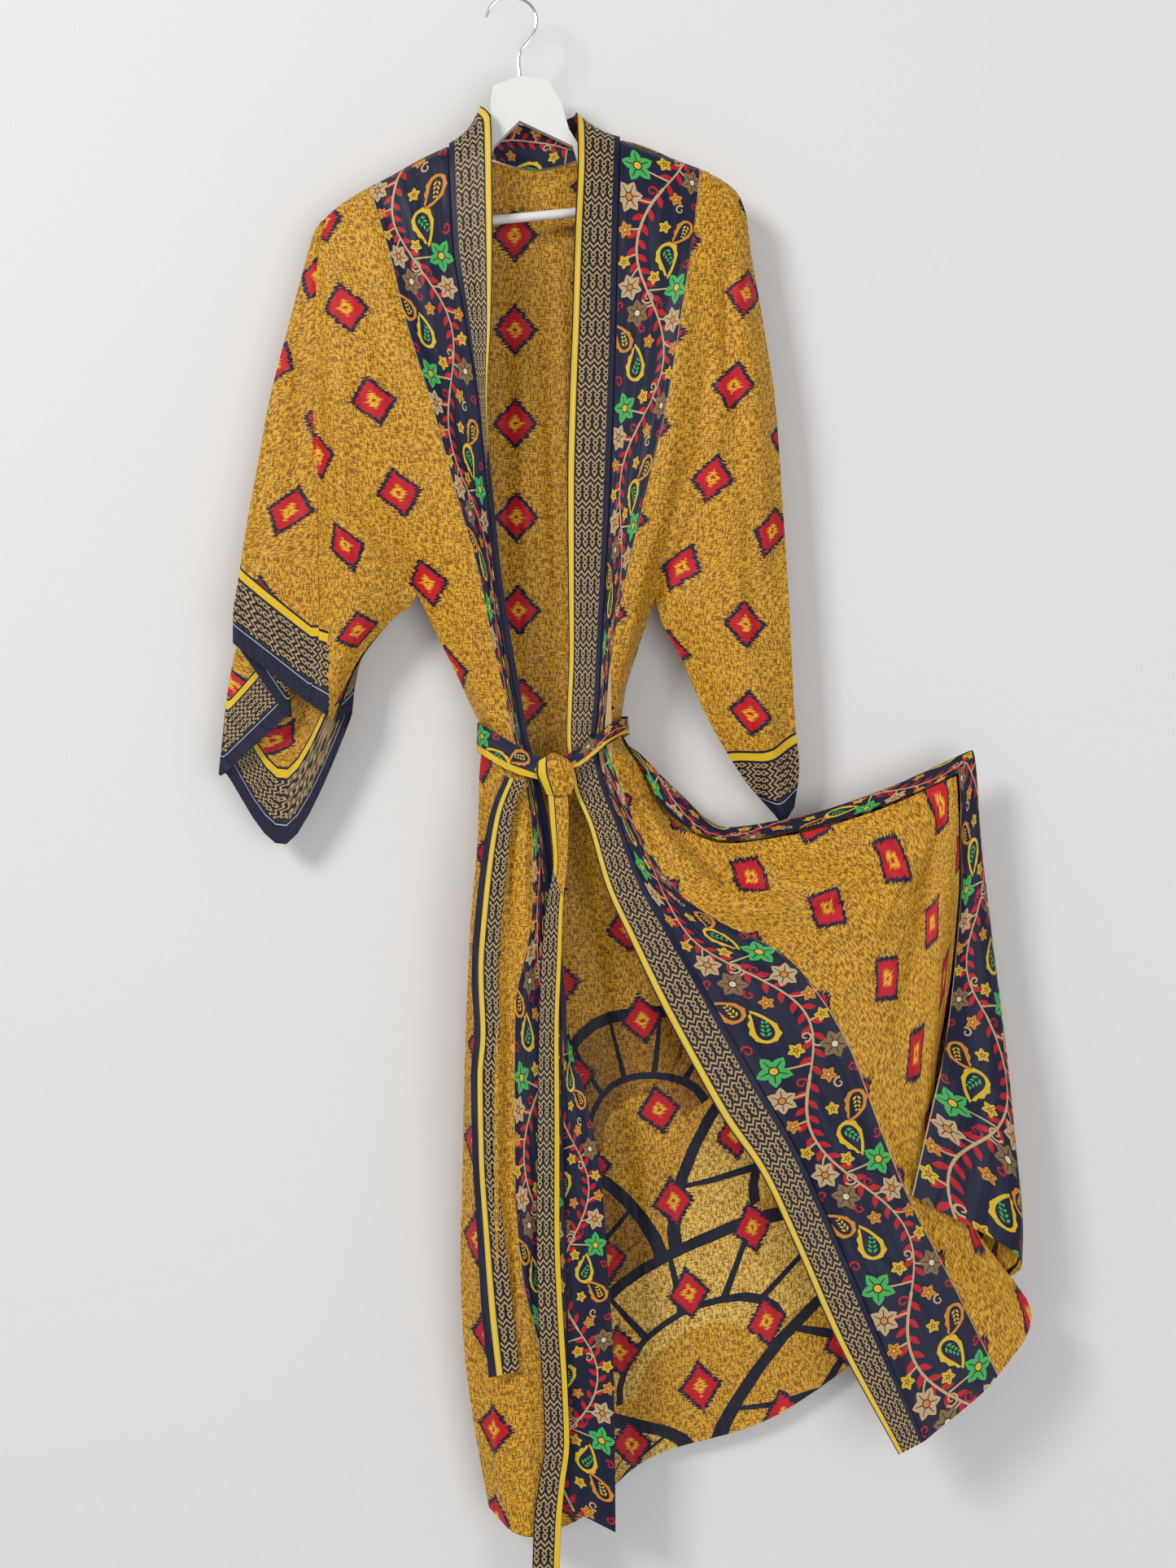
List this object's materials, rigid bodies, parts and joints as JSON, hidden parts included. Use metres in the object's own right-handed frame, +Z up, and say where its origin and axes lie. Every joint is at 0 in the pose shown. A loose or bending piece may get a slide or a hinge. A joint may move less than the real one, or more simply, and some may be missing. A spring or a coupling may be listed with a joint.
{
  "type": "kimono duster on a hanger",
  "caption": "Long open kimono duster with wide sleeves cut in one, a folded neck band and a tied belt, hanging on a hanger with one side of the skirt held out.",
  "frame": {"origin": "inner top of the hanger hook's loop, where it rests on a rail", "axes": "+Z up, front of the garment towards -Y, +X to the wearer's left"},
  "size_m": [0.8533, 0.097, 1.6918],
  "materials": {
    "printed_cloth_right": "printed crepe, soft sheen",
    "printed_cloth_left": "printed crepe, soft sheen",
    "printed_cloth_back": "printed crepe, soft sheen",
    "band_cloth": "printed crepe, soft sheen",
    "band_cloth_right": "printed crepe, soft sheen",
    "band_cloth_left": "printed crepe, soft sheen",
    "belt_cloth": "printed crepe, soft sheen",
    "knot_cloth": "printed crepe, soft sheen",
    "tail_left_cloth": "printed crepe, soft sheen",
    "tail_right_cloth": "printed crepe, soft sheen",
    "white_paint": "white painted, satin",
    "bar_paint": "white painted, satin",
    "hook_chrome": "bright"
  },
  "bodies": {
    "root": {"front_right": "printed_cloth_right", "front_left": "printed_cloth_left", "back": "printed_cloth_back", "neck_band": "band_cloth", "neck_band_right": "band_cloth_right", "neck_band_left": "band_cloth_left", "belt_wrap": "belt_cloth", "belt_knot": "knot_cloth", "belt_tail_left": "tail_left_cloth", "belt_tail_right": "tail_right_cloth", "hanger_body": "white_paint", "hanger_bar": "bar_paint", "hanger_hook": "hook_chrome"}
  },
  "joints": []
}
